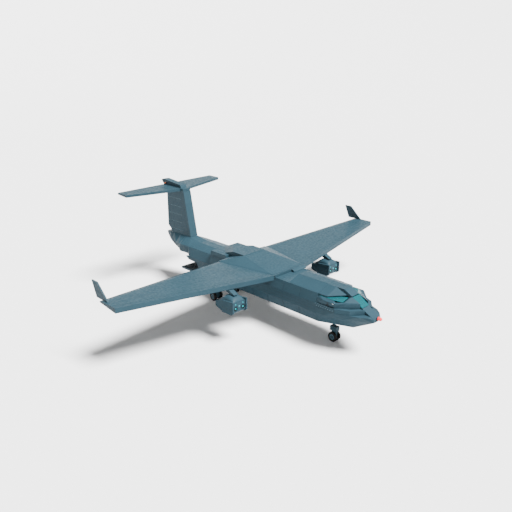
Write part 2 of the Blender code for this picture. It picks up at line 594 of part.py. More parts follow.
def build_tail():
    """Fin, bullet, stabiliser halves and their cross axle."""
    fin_low = WING_TOP + 0.0025 + GAP
    fin = [(0.2370, fin_low), (0.2680, FIN_TOP), (0.3650, FIN_TOP), (0.3670, WING_TOP + 0.0240),
           (0.3520, WING_TOP + 0.0120), (0.3500, fin_low)]
    place("fin", extruded(fin, "X", -FIN_HALF, FIN_HALF), "sand_blue")
    shape = box((-FIN_HALF, 0.2700, FIN_TOP + GAP), (FIN_HALF, 0.3860, STAB_TOP + 0.001))
    block = place("tail_bullet", shape, "sand_blue")
    pod = [(0.2860, STAB_TOP), (0.2900, STAB_TOP + 0.0110), (0.3860, BULLET_TOP),
           (BULLET_REAR, BULLET_TOP - 0.0020), (BULLET_REAR, BULLET_TOP - 0.0060),
           (0.3880, STAB_TOP + 0.0020), (0.3780, STAB_TOP)]
    joined(block, [place("bullet_top", extruded(pod, "X", -BULLET_HALF, BULLET_HALF), "sand_blue")])
    spot = (0.0, STAB_AXLE_Y, STAB_AXLE_Z)
    reach = STAB_AXLE_HALF + 0.006
    bore = turned([(-reach, AXLE_RADIUS + GAP), (reach, AXLE_RADIUS + GAP)], spot, "X", 16)
    cut(block, [place("stabiliser_axle_bore", bore, "black")])
    axle = turned([(-STAB_AXLE_HALF, AXLE_RADIUS), (STAB_AXLE_HALF, AXLE_RADIUS)], spot, "X", 16)
    place("stabiliser_axle", axle, "orange_brown", smooth=True)
    for side, sign in sides():
        rings = []
        for x, front in ((FIN_HALF + GAP, 0.2860), (STAB_TIP_X, 0.3360)):
            under = STAB_TOP - STAB_THICK
            rings.append([(sign * x, front, STAB_TOP), (sign * x, front, under),
                          (sign * x, STAB_REAR, under + 0.0030), (sign * x, STAB_REAR, STAB_TOP)])
        place("stabiliser_" + side, lofted(rings), "sand_blue")


def ring_profile(half_width, bore, radius, shoulder):
    """Turned profile of a tyre, closed round its bore."""
    return [(-half_width, bore), (-half_width, radius - shoulder), (-half_width + shoulder, radius),
            (half_width - shoulder, radius), (half_width, radius - shoulder), (half_width, bore),
            (-half_width, bore)]


def build_gear():
    """Legs, axles, hubs and tyres: twin wheels on each leg turn as one."""
    # Columns: name, place across, station, half width of the leg, offset of each wheel
    sets = (("nose", 0.0, NOSE_GEAR_Y, NOSE_LEG_HALF, NOSE_WHEEL_OFFSET),
            ("main_left", MAIN_GEAR_X, MAIN_GEAR_Y, MAIN_LEG_HALF, MAIN_WHEEL_OFFSET),
            ("main_right", -MAIN_GEAR_X, MAIN_GEAR_Y, MAIN_LEG_HALF, MAIN_WHEEL_OFFSET))
    for name, x, y, leg_half, offset in sets:
        leg_low = WHEEL_Z - 0.0060
        spot = (x, y, WHEEL_Z)
        if name == "nose":
            # The leg, its block and the swivel pin turn together when the nose gear steers.
            swivel_axis = (0.0, y, 0.0)
            shape = box((-leg_half, y - STUD, leg_low), (leg_half, y + STUD, NOSE_BLOCK_Z + 0.002))
            leg = place("nose_leg", shape, "sand_blue", swivel_axis)
            shape = box((-STUD, y - 1.5 * STUD, NOSE_BLOCK_Z), (STUD, y + 1.5 * STUD, NOSE_BLOCK_TOP))
            block = place("nose_leg_block", shape, "sand_blue", swivel_axis)
            profile = [(NOSE_BLOCK_Z + 0.002, SWIVEL_RADIUS), (SOCKET_TOP - 0.001, SWIVEL_RADIUS)]
            swivel = place("nose_swivel", turned(profile, swivel_axis, "Z", 16), "dark_grey", swivel_axis)
            joined(leg, [block, swivel])
        else:
            shape = box((x - leg_half, y - STUD, leg_low), (x + leg_half, y + STUD, BELLY_Z - GAP))
            leg = place("leg_" + name, shape, "sand_blue")
        reach = leg_half + 0.002
        bore = turned([(-reach, AXLE_RADIUS + GAP), (reach, AXLE_RADIUS + GAP)], spot, "X", 16)
        cut(leg, [place(name + "_axle_bore", bore, "black")])
        shape = turned([(-offset, AXLE_RADIUS), (offset, AXLE_RADIUS)], spot, "X", 16)
        axle = place(name + "_hubs", shape, "sand_blue", spot)
        for label, sign in (("a", 1.0), ("b", -1.0)):
            near = sign * (offset - HUB_HALF)
            far = sign * (offset + HUB_HALF)
            shape = turned([(near, TYRE_BORE - GAP), (far, TYRE_BORE - GAP)], spot, "X", 32)
            joined(axle, [place(f"{name}_hub_{label}", shape, "sand_blue", spot)])
            profile = ring_profile(0.5 * TYRE_WIDTH, TYRE_BORE, TYRE_RADIUS, 0.0018)
            shape = turned(profile, (x + sign * offset, y, WHEEL_Z), "X", 32)
            place(f"{name}_tyre_{label}", shape, "rubber", spot, smooth=True)


def build_ramp():
    """Cargo ramp, open and level as it stands, hinged below the floor's rear edge."""
    pivot = (0.0, RAMP_HINGE_Y, RAMP_HINGE_Z)
    low = RAMP_TOP - RAMP_THICK
    shape = box((-RAMP_HALF, RAMP_HINGE_Y + 0.005, low), (RAMP_HALF, RAMP_REAR, RAMP_TOP))
    plate = place("cargo_ramp", shape, "sand_blue", pivot)
    tongue_half = LUG_INNER - 0.002
    rear = RAMP_HINGE_Y + STUD
    shape = box((-tongue_half, RAMP_HINGE_Y, low + 0.0020), (tongue_half, rear, RAMP_TOP - 0.0005))
    tongue = place("ramp_tongue", shape, "sand_blue", pivot)
    barrel_half = LUG_INNER - 0.001
    shape = turned([(-barrel_half, BARREL_RADIUS), (barrel_half, BARREL_RADIUS)], pivot, "X", 24)
    barrel = place("ramp_barrel", shape, "sand_blue", pivot)
    pin_half = LUG_OUTER + 0.001
    shape = turned([(-pin_half, PIN_RADIUS), (pin_half, PIN_RADIUS)], pivot, "X", 16)
    pin = place("ramp_pin", shape, "sand_blue", pivot)
    joined(plate, [tongue, barrel, pin])


clear_scene()
build_hull()
build_tail_cone()
build_nose()
build_cockpit()
build_wing()
build_pods()
build_tail()
build_gear()
build_ramp()
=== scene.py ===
# Looks of the brick-built toy transport plane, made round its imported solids. Metres, nose to -Y.
import math

import bmesh
import bpy
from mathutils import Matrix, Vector


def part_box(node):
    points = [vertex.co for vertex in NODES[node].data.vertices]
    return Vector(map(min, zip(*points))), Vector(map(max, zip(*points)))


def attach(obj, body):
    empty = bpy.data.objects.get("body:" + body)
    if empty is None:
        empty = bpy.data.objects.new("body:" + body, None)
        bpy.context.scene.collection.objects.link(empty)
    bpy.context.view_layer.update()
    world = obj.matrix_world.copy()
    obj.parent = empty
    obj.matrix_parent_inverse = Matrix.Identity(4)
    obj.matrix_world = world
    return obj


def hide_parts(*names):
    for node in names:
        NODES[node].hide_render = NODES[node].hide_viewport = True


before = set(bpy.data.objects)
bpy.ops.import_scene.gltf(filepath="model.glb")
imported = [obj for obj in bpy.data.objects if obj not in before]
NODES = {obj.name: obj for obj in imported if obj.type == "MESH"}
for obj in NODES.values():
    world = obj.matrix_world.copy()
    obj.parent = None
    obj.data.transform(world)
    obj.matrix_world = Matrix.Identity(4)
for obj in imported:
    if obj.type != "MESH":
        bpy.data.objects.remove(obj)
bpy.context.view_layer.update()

# Camera, as solved from corners of the photograph that mirror each other; angles in degrees
CAMERA_PLACE = (-1.2500, -1.2653, 0.8212)
CAMERA_AZIMUTH = -44.5647
CAMERA_ELEVATION = 19.7883
CAMERA_LENS = 41.37
CAMERA_SENSOR = 36.0
CAMERA_NEAR = 0.05
CAMERA_FAR = 60.0

# Light: where the key light comes from, its strength and its width in degrees
KEY_FROM = (0.20, -0.85, 1.40)
KEY_LIGHT = 24.0
KEY_SPREAD = 22.0
WORLD_LIGHT = 0.35

# Floor: its shade, and its rows as reach from the middle and height
FLOOR_SHADE = 0.60
FLOOR_ROWS = ((4.0, 0.0), (6.0, 0.08), (9.0, 0.45), (14.0, 1.7), (30.0, 8.0))
FLOOR_STEPS = 64

# Patterns of moulded plastic: scale and detail of its clouds, scuffs and dents
CLOUD_SCALE, CLOUD_DETAIL, CLOUD_SPAN = 22.0, 4.0, (0.30, 0.70)
SCUFF_SCALE, SCUFF_DETAIL, SCUFF_SPAN = 140.0, 6.0, (0.35, 0.75)
SCUFF_LEAST, SCUFF_MOST = 0.80, 1.35     # shares of a material's roughness
DENT_DETAIL, DENT_DEPTH = 3.0, 0.0004
PLASTIC_IOR = 1.5

# The building system's own sizes
MM = 0.001                 # one millimetre
PITCH = 0.0080             # from stud to stud
COURSE = 1.2 * PITCH       # height of a brick
STUD_RADIUS = 0.0024
STUD_RISE = 0.0014
PIN_RADIUS = 0.0024

# Seams between bricks: their width, and how far the dark filling stands out of the face
SEAM = 0.00045
FINE_SEAM = 0.0003
PANEL_SEAM = 0.0004
ROOT_SEAM = 0.0006
EDGE_SEAM = 0.0008
PROUD = 0.00012
FINE_PROUD = 0.00008
FLUSH = 0.00005            # the least rise that still shows on a face
STRIP_SINK = 0.0004        # how deep a strip's foot lies in its face
FOOT_SINK = 0.0003         # the same for a disc or ring
END_GAP = 0.001            # from a seam's end to the edge of its face

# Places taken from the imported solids
PORT_LOW, PORT_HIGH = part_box("wing_left")
HULL_LOW, HULL_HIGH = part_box("hull_side_left")
ROOF_LOW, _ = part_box("hull_roof")
FIN_LOW, FIN_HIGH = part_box("fin")
STAB_LOW, STAB_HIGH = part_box("stabiliser_left")
POD_LOW, POD_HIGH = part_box("pod_body_left")
HOOD_LOW, HOOD_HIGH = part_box("pod_hood_left")
INTAKE_LOW, INTAKE_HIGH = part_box("pod_intakes_left")
RAMP_LOW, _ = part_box("cargo_ramp")
TIER_LOW, TIER_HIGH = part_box("nose_tier_left")
FLOOR_LOW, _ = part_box("hull_floor")
_, SADDLE_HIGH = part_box("wing_fairing")
SIDES = (("left", 1.0), ("right", -1.0))
UP = (0.0, 0.0, 1.0)
AHEAD = (0.0, -1.0, 0.0)
ASTERN = (0.0, 1.0, 0.0)

# The wing: its rear edge and top in the middle, its sweep and dihedral, and the bevel before its rear edge
WING_Y = 0.0820
WING_TOP = SADDLE_HIGH.z - 0.0195
ROOT_X, TIP_X = PORT_LOW.x, PORT_HIGH.x
TIP_FRONT = WING_Y - 0.1331
RISE = (PORT_HIGH.z - WING_TOP) / (TIP_X - ROOT_X)
REAR_SWEEP = -0.105
BEVEL_DEPTH = 0.020
BEVEL_FALL = 0.12

# Upper faces inside the load space and on the ramp
BAY_FLOOR = WING_TOP - 0.0848
RAMP_TOP = WING_TOP - 0.0966

BOX_FACES = [(0, 1, 3, 2), (4, 6, 7, 5), (0, 4, 5, 1), (2, 3, 7, 6), (0, 2, 6, 4), (1, 5, 7, 3)]


def make_camera():
    """Camera at the photograph's place and angle."""
    data = bpy.data.cameras.new("photo_camera")
    data.sensor_width = CAMERA_SENSOR
    data.lens = CAMERA_LENS
    data.clip_start = CAMERA_NEAR
    data.clip_end = CAMERA_FAR
    camera = bpy.data.objects.new("photo_camera", data)
    azimuth, elevation = math.radians(CAMERA_AZIMUTH), math.radians(CAMERA_ELEVATION)
    level = math.cos(elevation)
    back = Vector((math.sin(azimuth) * level, -math.cos(azimuth) * level, math.sin(elevation)))
    camera.location = CAMERA_PLACE
    camera.rotation_mode = "QUATERNION"
    camera.rotation_quaternion = (-back).to_track_quat("-Z", "Y")
    bpy.context.scene.collection.objects.link(camera)
    bpy.context.scene.camera = camera


def make_light():
    """Soft studio light: one broad lamp, high and ahead, and a weak pale world."""
    world = bpy.data.worlds.new("studio")
    world.use_nodes = True
    sky = world.node_tree.nodes["Background"]
    sky.inputs["Color"].default_value = (1.0, 1.0, 1.0, 1.0)
    sky.inputs["Strength"].default_value = WORLD_LIGHT
    bpy.context.scene.world = world
    data = bpy.data.lights.new("key", "SUN")
    data.angle = math.radians(KEY_SPREAD)
    data.energy = KEY_LIGHT
    lamp = bpy.data.objects.new("key", data)
    lamp.rotation_euler = (-Vector(KEY_FROM)).to_track_quat("-Z", "Y").to_euler()
    bpy.context.scene.collection.objects.link(lamp)


def make_floor():
    """Plain pale floor, flat round the model and rising gently far outside the view."""
    points = [(0.0, 0.0, 0.0)]
    for reach, height in FLOOR_ROWS:
        for step in range(FLOOR_STEPS):
            turn = 2.0 * math.pi * step / FLOOR_STEPS
            points.append((reach * math.cos(turn), reach * math.sin(turn), height))
    faces = [(0, 1 + step, 1 + (step + 1) % FLOOR_STEPS) for step in range(FLOOR_STEPS)]
    for row in range(len(FLOOR_ROWS) - 1):
        near, far = 1 + row * FLOOR_STEPS, 1 + (row + 1) * FLOOR_STEPS
        for step in range(FLOOR_STEPS):
            after = (step + 1) % FLOOR_STEPS
            faces.append((near + step, far + step, far + after, near + after))
    mesh = bpy.data.meshes.new("floor")
    mesh.from_pydata(points, [], faces)
    mesh.shade_smooth()
    material = bpy.data.materials.new("floor_paint")
    material.use_nodes = True
    shader = material.node_tree.nodes["Principled BSDF"]
    shader.inputs["Base Color"].default_value = (FLOOR_SHADE, FLOOR_SHADE, FLOOR_SHADE, 1.0)
    shader.inputs["Roughness"].default_value = 1.0
    shader.inputs["Specular IOR Level"].default_value = 0.0
    mesh.materials.append(material)
    floor = bpy.data.objects.new("floor", mesh)
    bpy.context.scene.collection.objects.link(floor)


def moulded(name, colour, rough, shade=0.12, grain=900.0, bump=0.05, clear=0.0, gloss=0.15):
    """Moulded plastic or rubber: cloudy colour, fine grain, scuffs and small dents."""
    material = bpy.data.materials.new(name)
    material.use_nodes = True
    tree = material.node_tree
    shader = tree.nodes["Principled BSDF"]
    place = tree.nodes.new("ShaderNodeTexCoord").outputs["Object"]

    def noise(scale, detail):
        node = tree.nodes.new("ShaderNodeTexNoise")
        node.inputs["Scale"].default_value = scale
        node.inputs["Detail"].default_value = detail
        tree.links.new(place, node.inputs["Vector"])
        return node.outputs["Fac"]

    def ramp(source, low, high, span):
        node = tree.nodes.new("ShaderNodeValToRGB")
        for element, position, value in zip(node.color_ramp.elements, span, (low, high)):
            element.position = position
            element.color = (*value, 1.0)
        tree.links.new(source, node.inputs["Fac"])
        return node.outputs["Color"]

    dark = tuple(part * (1.0 - shade) for part in colour)
    pale = tuple(min(1.0, part * (1.0 + shade)) for part in colour)
    clouds = ramp(noise(CLOUD_SCALE, CLOUD_DETAIL), dark, pale, CLOUD_SPAN)
    tree.links.new(clouds, shader.inputs["Base Color"])
    smooth, worn = (rough * SCUFF_LEAST,) * 3, (min(1.0, rough * SCUFF_MOST),) * 3
    scuffs = ramp(noise(SCUFF_SCALE, SCUFF_DETAIL), smooth, worn, SCUFF_SPAN)
    tree.links.new(scuffs, shader.inputs["Roughness"])
    dent = tree.nodes.new("ShaderNodeBump")
    dent.inputs["Strength"].default_value = bump
    dent.inputs["Distance"].default_value = DENT_DEPTH
    tree.links.new(noise(grain, DENT_DETAIL), dent.inputs["Height"])
    tree.links.new(dent.outputs["Normal"], shader.inputs["Normal"])
    shader.inputs["IOR"].default_value = PLASTIC_IOR
    shader.inputs["Specular IOR Level"].default_value = gloss
    shader.inputs["Transmission Weight"].default_value = clear
    return material


PAINTS = {
    "blue": moulded("blue_plastic", (0.0118, 0.0272, 0.0365), 0.48, shade=0.05, bump=0.03, gloss=0.06),
    # Dark of the joints between bricks, also used as painted shade below the sills
    "seam_and_shade": moulded("seam_shade", (0.0035, 0.0085, 0.0115), 0.60),
    # Lighter blue for painted highlights on edges
    "edge": moulded("edge_gleam", (0.023, 0.048, 0.063), 0.25),
    # Pale blue for painted highlights: glints of studs and pale hub rims
    "glint": moulded("dot_gleam", (0.050, 0.092, 0.115), 0.30),
    "black": moulded("black_plastic", (0.0015, 0.0015, 0.0015), 0.35),
    "rubber": moulded("tyre_rubber", (0.0022, 0.0018, 0.0015), 0.75, grain=1600.0, bump=0.3),
    "grey": moulded("dark_plastic", (0.012, 0.017, 0.020), 0.45),
    "brown": moulded("brown_plastic", (0.120, 0.028, 0.010), 0.35),
    # White used only for painted highlights, on the hoods and at the sills
    "highlight_white": moulded("white_highlight_paint", (0.700, 0.720, 0.720), 0.30),
    "cyan": moulded("cyan_plastic", (0.008, 0.220, 0.250), 0.20),
    "teal": moulded("teal_clear", (0.006, 0.062, 0.072), 0.10, shade=0.06, bump=0.0, clear=0.35),
    "red": moulded("red_clear", (0.700, 0.035, 0.045), 0.08, shade=0.05, bump=0.01, clear=0.2),
}
# What isn't named here is blue
NODE_PAINTS = {
    "black": ("nose_ring", "pod_intakes_left", "pod_intakes_right"),
    "rubber": tuple(name for name in NODES if "tyre" in name),
    "grey": ("cockpit_floor",),
    "brown": ("stabiliser_axle",),
    "teal": ("windscreen", "side_window_left", "side_window_right"),
    "red": ("nose_lamp",),
}


def paint_nodes():
    """Give every carried-over solid its material."""
    chosen = {name: paint for paint, names in NODE_PAINTS.items() for name in names}
    for name, node in NODES.items():
        node.data.materials.clear()
        node.data.materials.append(PAINTS[chosen.get(name, "blue")])


def piece(name, shapes, paint, body="root"):
    """One visible object from a list of (points, faces), riding on a body."""
    points, faces = [], []
    for shape_points, shape_faces in shapes:
        base = len(points)
        points += [tuple(point) for point in shape_points]
        faces += [tuple(base + corner for corner in face) for face in shape_faces]
    mesh = bpy.data.meshes.new(name)
    mesh.from_pydata(points, [], faces)
    shape = bmesh.new()
    shape.from_mesh(mesh)
    bmesh.ops.recalc_face_normals(shape, faces=shape.faces)
    shape.to_mesh(mesh)
    shape.free()
    mesh.materials.append(PAINTS[paint])
    thing = bpy.data.objects.new(name, mesh)
    bpy.context.scene.collection.objects.link(thing)
    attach(thing, body)
    return thing


def block(low, high):
    """A box between two corners."""
    points = [(x, y, z) for x in (low[0], high[0]) for y in (low[1], high[1]) for z in (low[2], high[2])]
    return points, BOX_FACES


def circles(centre, axis, rows, segments):
    """Points on circles round an axis; the rows' columns are distance along it and radius."""
    axis = Vector(axis).normalized()
    side = axis.orthogonal().normalized()
    across = axis.cross(side)
    turns = [2.0 * math.pi * step / segments for step in range(segments)]
    return [Vector(centre) + axis * along + (side * math.cos(turn) + across * math.sin(turn)) * radius
            for along, radius in rows for turn in turns]


def disc(centre, axis, radius, rise, segments=14):
    """A short cylinder that stands from its centre along an axis, sunk a little at its foot."""
    points = circles(centre, axis, ((-FOOT_SINK, radius), (rise, radius)), segments)
    faces = [tuple(range(segments)), tuple(range(segments, 2 * segments))]
    for step in range(segments):
        after = (step + 1) % segments
        faces.append((step, after, segments + after, segments + step))
    return points, faces


def ring(centre, axis, radius, bore, rise, segments=20):
    """A flat ring that stands from its centre along an axis, sunk a little at its foot."""
    rows = ((-FOOT_SINK, bore), (rise, bore), (rise, radius), (-FOOT_SINK, radius))
    faces = []
    for row in range(len(rows)):
        near, far = row * segments, ((row + 1) % len(rows)) * segments
        for step in range(segments):
            after = (step + 1) % segments
            faces.append((near + step, near + after, far + after, far + step))
    return circles(centre, axis, rows, segments), faces


def strip(start, end, normal, width=SEAM, rise=PROUD):
    """A thin bar laid on a face from one point to another."""
    start, end, normal = Vector(start), Vector(end), Vector(normal).normalized()
    side = (end - start).normalized().cross(normal) * 0.5 * width
    foot, top = normal * -STRIP_SINK, normal * rise
    points = [at + across + up for at in (start, end) for across in (-side, side) for up in (foot, top)]
    return points, BOX_FACES


def plate(corners, depth):
    """A thin piece given by the corners of its outer face, with its back moved along X by its depth."""
    count = len(corners)
    faces = [tuple(range(count)), (count, *range(2 * count - 1, count, -1))]
    for corner in range(count):
        after = (corner + 1) % count
        faces.append((corner, count + corner, count + after, after))
    return corners + [(x - depth, y, z) for x, y, z in corners], faces


def station(across, along, up):
    """Place given in millimetres: from the middle, from the wing's rear edge there, and from its top."""
    return across * MM, WING_Y + along * MM, WING_TOP + up * MM


def solid(rows):
    """Closed convex shape round corners given as station's columns, on both sides of the middle."""
    shape = bmesh.new()
    for x, y, z in rows:
        for across in ((x, -x) if x else (x,)):
            shape.verts.new(station(across, y, z))
    result = bmesh.ops.convex_hull(shape, input=shape.verts)
    spare = [item for item in result["geom_unused"] + result["geom_interior"]
             if isinstance(item, bmesh.types.BMVert)]
    bmesh.ops.delete(shape, geom=list(set(spare)), context="VERTS")
    shape.verts.index_update()
    points = [vert.co.copy() for vert in shape.verts]
    faces = [tuple(vert.index for vert in face.verts) for face in shape.faces]
    shape.free()
    return points, faces


def front_y(x):
    """The leading edge's place along Y."""
    share = max(abs(x) - ROOT_X, 0.0) / (TIP_X - ROOT_X)
    return PORT_LOW.y + share * (TIP_FRONT - PORT_LOW.y)


def rear_y(x):
    """The trailing edge's place along Y."""
    return WING_Y + REAR_SWEEP * abs(x)


def wing_point(x, y, lift=0.0):
    """Point on the wing's top and on the bevel before its rear edge, from the place across and along."""
    fall = BEVEL_FALL * max(y - rear_y(x) + BEVEL_DEPTH, 0.0)
    return Vector((x, y, WING_TOP + RISE * max(abs(x) - ROOT_X, 0.0) - fall + lift))


def dress_wing():
    """Tile seams, root joints, tip pins, tip clips in a lighter blue of painted highlight on both wings, and
    a hole in the front at starboard.
    """
    tile, edge_tile, lip = 6 * PITCH, 2 * PITCH, 0.45 * PITCH
    tip_inset, front_inset = 0.002, 0.0005
    # Columns: edge, distance behind it, width of the seam that follows it
    edge_lines = ((front_y, edge_tile, SEAM), (rear_y, -edge_tile, SEAM), (rear_y, -lip, EDGE_SEAM))
    root_depth, tip_depth, middle_shares, middle_inset = 0.2, 0.075, (0.45, 0.62), 0.004
    pin_shares, pin_span, pin_drop = (0.25, 0.75), 0.05, 0.009
    clip_inset, clip_from, clip_to, clip_width, clip_rise = 0.012, 0.024, 0.016, 0.003, 0.0004
    hole_x, hole_drop, hole_radius, hole_rise = 0.0640, 0.0034, 0.0022, 0.0002
    seams, clip_gleams, pins = [], [], []
    for _, sign in SIDES:
        x = ROOT_X + PITCH
        while x < TIP_X - PITCH:
            after = min(x + tile, TIP_X - tip_inset)
            # Behind the leading edge and before the trailing edge, tile after tile.
            for edge, inset, width in edge_lines:
                seams.append(strip(wing_point(sign * x, edge(x) + inset),
                                   wing_point(sign * after, edge(after) + inset), UP, width))
            seams.append(strip(wing_point(sign * x, front_y(x) + front_inset),
                               wing_point(sign * x, front_y(x) + edge_tile), UP))
            seams.append(strip(wing_point(sign * x, rear_y(x) - BEVEL_DEPTH),
                               wing_point(sign * x, rear_y(x) - 4 * edge_tile), UP, FINE_SEAM, FINE_PROUD))
            x = after
        for share in middle_shares:
            seams.append(strip(wing_point(sign * ROOT_X, front_y(ROOT_X) + share * root_depth),
                               wing_point(sign * (TIP_X - middle_inset), front_y(TIP_X) + share * tip_depth),
                               UP, FINE_SEAM, FINE_PROUD))
        # The root joint, over the flat top and then down the bevel.
        stops = (front_y(ROOT_X) + END_GAP, rear_y(ROOT_X) - BEVEL_DEPTH, rear_y(ROOT_X) - END_GAP)
        for start, end in zip(stops, stops[1:]):
            seams.append(strip(wing_point(sign * ROOT_X, start), wing_point(sign * ROOT_X, end),
                               UP, ROOT_SEAM))
        for share in pin_shares:
            tip = wing_point(sign * TIP_X, front_y(TIP_X) + share * pin_span, -pin_drop)
            pins.append(disc(tip, (sign, 0.0, 0.0), PIN_RADIUS, FLUSH))
        # Short strips near each tip's rear edge in the gleam colour: a painted highlight
        clip_x = sign * (TIP_X - clip_inset)
        clip_gleams.append(strip(wing_point(clip_x, rear_y(TIP_X) - clip_from),
                           wing_point(clip_x, rear_y(TIP_X) - clip_to), UP, clip_width, clip_rise))
    piece("wing_seams", seams, "seam_and_shade")
    piece("wing_tip_pins", pins, "grey")
    piece("wing_tip_clip_gleams", clip_gleams, "edge")
    hole = (-hole_x, PORT_LOW.y, WING_TOP - hole_drop)
    piece("wing_front_hole", [disc(hole, AHEAD, hole_radius, hole_rise)], "black")


def dress_hump():
    """The saddle behind the wing, the crown over the wing's middle and the plateau between them."""
    # Columns: half width, distance behind the wing's rear edge, height above its top, in millimetres
    saddle = solid([(62.0, 0.3, -7.7), (60.0, 0.3, 4.7), (62.0, 76.5, -7.7), (60.0, 73.0, 4.7)])
    crown = solid([(45.0, -69.0, 18.4), (104.0, -45.0, 1.9), (104.0, -14.0, 1.9), (45.0, -18.0, 2.6),
                   (66.0, -214.0, 0.5), (40.0, -218.0, 0.7), (66.0, -212.0, 0.1), (66.0, -10.0, 0.1),
                   (30.0, -5.0, 0.1)])
    plateau = solid([(45.0, -70.0, 0.1), (45.0, -70.0, 19.2), (45.0, -18.0, 19.5), (45.0, -18.0, 0.1),
                     (0.0, 31.0, 18.6), (43.0, 26.0, 4.0), (0.0, 75.0, 4.0), (30.0, -4.0, 0.1)])
    hump = piece("dorsal_hump", [saddle, crown, plateau], "blue")
    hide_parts("wing_fairing")


def wall_seams():
    """Brick seams on the hull's upright walls and on the sloped walls above and below them."""
    front, waist = HULL_LOW.y, HULL_LOW.z
    seam_end, joint_end, joint_step = front + 0.512, front + 0.500, 8 * PITCH
    # Columns: height of the end at the upright wall, far end's half width and height, slope's normal
    slopes = ((waist + 0.0290, 0.0597, waist + 0.0570, (0.0288, 0.0083)),
              (waist - 0.0005, 0.0595, FLOOR_LOW.z + 0.0010, (0.0288, -0.0085)))
    seams = []
    for _, sign in SIDES:
        out, face = (sign, 0.0, 0.0), sign * HULL_HIGH.x
        for course in (1, 2):
            z = waist + course * COURSE
            seams.append(strip((face, front + END_GAP, z), (face, seam_end, z), out))
        for course in range(3):
            y = front + (4 + 4 * (course % 2)) * PITCH
            z = waist + course * COURSE
            while y < joint_end:
                seams.append(strip((face, y, z), (face, y, z + COURSE), out, FINE_SEAM))
                y += joint_step
        for step in range(1, 8):
            y = front + step * joint_step
            for near_z, far_x, far_z, (lean_x, lean_z) in slopes:
                seams.append(strip((face, y, near_z), (sign * far_x, y, far_z), (sign * lean_x, 0.0, lean_z),
                                   FINE_SEAM))
    return seams


def roof_seams(top, rear):
    """Seams along and across the gabled roof before the wing, from its ridge's height and rear end."""
    front = HULL_LOW.y + 2 * END_GAP
    ridge_x, line_x, fall, run = 0.0158, (0.030, 0.044), 0.0160, 0.0425
    joint_from, joint_to, joint_fall, joint_step = 0.016, 0.0578, 0.0158, 1.4 * PITCH
    seams = []
    for _, sign in SIDES:
        slope = (sign * 0.35, 0.0, 1.0)
        seams.append(strip((sign * ridge_x, front, top), (sign * ridge_x, rear - END_GAP, top),
                           (sign * 0.3, 0.0, 1.0), PANEL_SEAM))
        for x in line_x:
            z = top - fall * (x - joint_from) / run
            seams.append(strip((sign * x, front, z), (sign * x, rear - END_GAP, z), slope,
                               FINE_SEAM, FINE_PROUD))
        for step in (2, 5, 8):
            y = HULL_LOW.y + step * joint_step
            seams.append(strip((sign * joint_from, y, top), (sign * joint_to, y, top - joint_fall), slope,
                               FINE_SEAM))
    return seams


def dress_hull():
    """Brick seams on walls and roof, a dark wedge of painted shade where roof and wing meet, studs of floor
    and ramp.
    """
    gable_top, gable_rear, shade_half = WING_TOP + 0.0080, WING_Y - 0.2770, 0.040
    piece("hull_seams", wall_seams() + roof_seams(gable_top, gable_rear), "seam_and_shade")
    # A black wedge at the gable's rear end is painted shade in the gap where roof and wing meet
    shade_wedge = block((-shade_half, gable_rear - 0.0002, ROOF_LOW.z + 0.010),
                  (shade_half, gable_rear + 0.0012, WING_TOP - 0.0065))
    piece("roof_joint_painted_shade", [shade_wedge], "black")
    # The floor's studs stand at every second row and in spread columns, the ramp's at every pitch.
    floor_start, ramp_start = FLOOR_LOW.y + 0.010, RAMP_LOW.y + 0.0200
    studs = [disc((0.9 * column * PITCH, floor_start + 2 * row * PITCH, BAY_FLOOR), UP,
                  STUD_RADIUS, STUD_RISE, 8) for column in range(-5, 6, 2) for row in range(31)]
    piece("floor_studs", studs, "blue")
    studs = [disc((column * PITCH, ramp_start + row * PITCH, RAMP_TOP), UP,
                  STUD_RADIUS, STUD_RISE, 10) for column in range(-6, 7) for row in range(10)]
    piece("ramp_studs", studs, "blue", "ramp")


def dress_nose():
    """Painted highlight dots and seams on the nose's tiers, the panes' rear ends, and at each sill a dark
    patch of painted shade and a painted highlight.
    """
    first_glint, seam_places = WING_Y - 0.4460, (WING_Y - 0.4200, WING_Y - 0.4520)
    seam_inset = 0.0003
    # Light dots along each tier are painted highlights where stud edges catch the light
    # Columns: shift along, height, radius, rise
    glint_rows = ((0.0, TIER_LOW.z + 0.0045, 0.0013, 0.0004),
                (0.5 * PITCH, TIER_HIGH.z - 0.0030, 0.0009, 0.0003))
    # Columns as station's
    pane_corners = ((58.6, -390.0, -11.9), (58.6, -418.0, -12.0), (60.4, -418.0, -15.6))
    # Corners of a dark patch below each sill: painted shade on a face that leans inward
    shade_corners = ((66.5, -404.0, -19.4), (69.1, -430.0, -19.4), (67.6, -433.0, -31.0),
                      (66.9, -420.0, -31.0))
    glint_low, glint_high = (68.0, -450.0, -19.6), (69.0, -444.0, -18.8)
    pane_depth, shade_depth = 0.0012, 0.0025
    glint_dots, seams, glints, panes, shade_patches = [], [], [], [], []
    for _, sign in SIDES:
        out, face = (sign, 0.0, 0.0), sign * TIER_HIGH.x
        for step in range(8):
            for shift, z, radius, rise in glint_rows:
                glint_dots.append(disc((face, first_glint + step * PITCH + shift, z), out, radius, rise, 10))
        for y in seam_places:
            seams.append(strip((face, y, TIER_LOW.z + seam_inset), (face, y, TIER_HIGH.z - seam_inset), out,
                               PANEL_SEAM))
        panes.append(plate([station(sign * x, y, z) for x, y, z in pane_corners], sign * pane_depth))
        # Dark patch below the sill, painted shade
        shade_patches.append(plate([station(sign * x, y, z) for x, y, z in shade_corners], sign * shade_depth))
        glints.append(block(*[station(sign * x, y, z) for x, y, z in (glint_low, glint_high)]))
    piece("window_rear_panes", panes, "teal")
    piece("sill_painted_shade", shade_patches, "seam_and_shade")
    piece("nose_side_glints", glint_dots, "glint")
    piece("nose_seams", seams, "seam_and_shade")
    piece("sill_glints", glints, "highlight_white")


